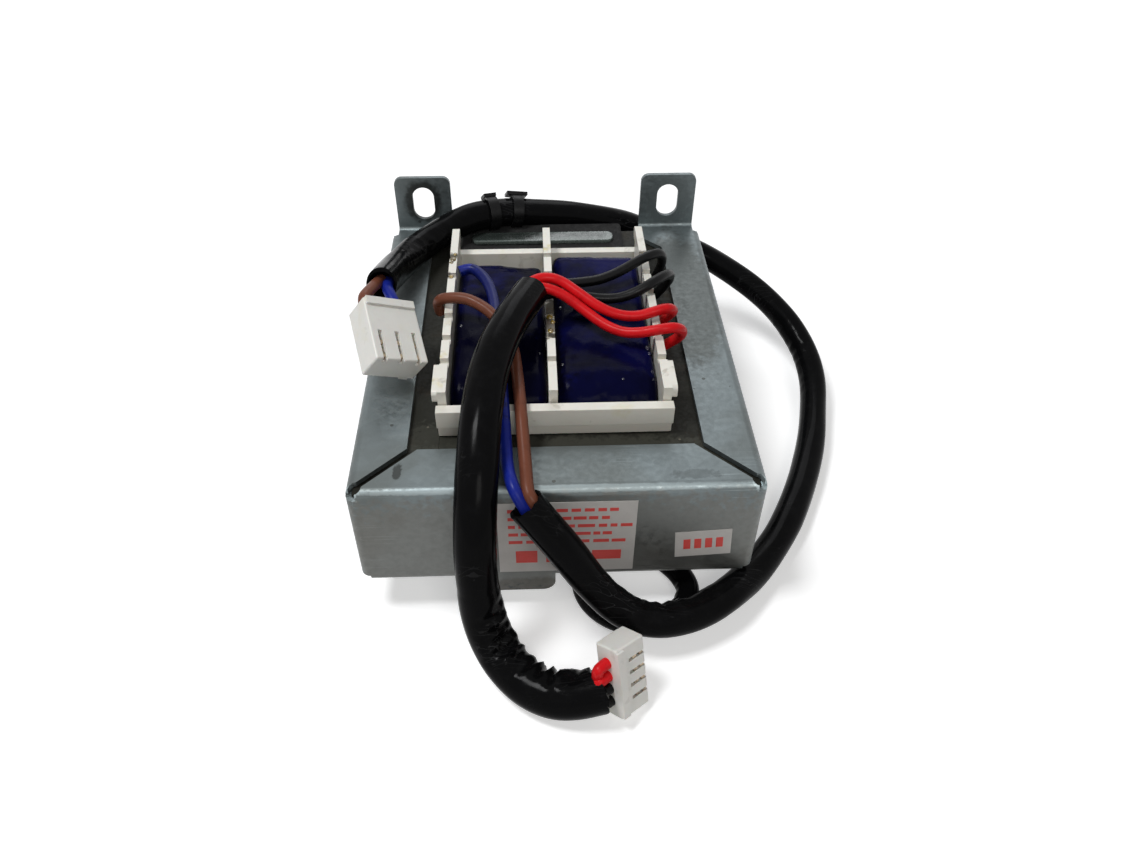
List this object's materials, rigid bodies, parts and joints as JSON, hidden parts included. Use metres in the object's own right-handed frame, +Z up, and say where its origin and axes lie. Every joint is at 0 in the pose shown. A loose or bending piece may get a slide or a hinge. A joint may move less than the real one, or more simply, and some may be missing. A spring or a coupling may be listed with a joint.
{
  "type": "chassis-mount electrical transformer",
  "caption": "Small E-I core mains transformer in a mitred steel clamp frame with slotted ears, a two-section bobbin and sleeved leads ending in plug connectors.",
  "frame": {"origin": "on the supporting surface, below the middle of the transformer's box without its leads", "axes": "+Z up through the open bobbin face, +Y from the front wall towards the ears' mounting plane, +X to the right along the coil"},
  "size_m": [0.1056, 0.1245, 0.0486],
  "materials": {
    "zinc_sheet": "galvanised, satin",
    "lamination_steel": "dark varnished laminations",
    "bobbin_plastic": "moulded, stained",
    "winding_tape": "varnished tape",
    "brown_insulation": "satin",
    "blue_insulation": "satin",
    "red_insulation": "satin",
    "black_insulation": "satin",
    "black_sleeving": "glossy",
    "connector_plastic": "moulded",
    "strip_plastic": "translucent",
    "pad_fibre": "soft, dull",
    "tie_nylon": "moulded"
  },
  "bodies": {
    "root": {"clamp_frame": "zinc_sheet", "packing_strip": "strip_plastic", "rear_pad": "pad_fibre", "e_laminations": "lamination_steel", "i_laminations": "lamination_steel", "bobbin": "bobbin_plastic", "front_liner": "bobbin_plastic", "rear_liner": "bobbin_plastic", "primary_winding": "winding_tape", "secondary_winding": "winding_tape", "brown_lead": "brown_insulation", "blue_lead": "blue_insulation", "red_lead_1": "red_insulation", "red_lead_2": "red_insulation", "black_lead_1": "black_insulation", "black_lead_2": "black_insulation", "primary_sleeve": "black_sleeving", "secondary_sleeve": "black_sleeving", "underside_loop": "black_sleeving", "primary_connector": "connector_plastic", "secondary_connector": "connector_plastic", "brown_plug_wire": "brown_insulation", "blue_plug_wire": "blue_insulation", "red_plug_wire_1": "red_insulation", "red_plug_wire_2": "red_insulation", "black_plug_wire_1": "black_insulation", "black_plug_wire_2": "black_insulation", "cable_tie_1": "tie_nylon", "cable_tie_2": "tie_nylon"}
  },
  "joints": []
}
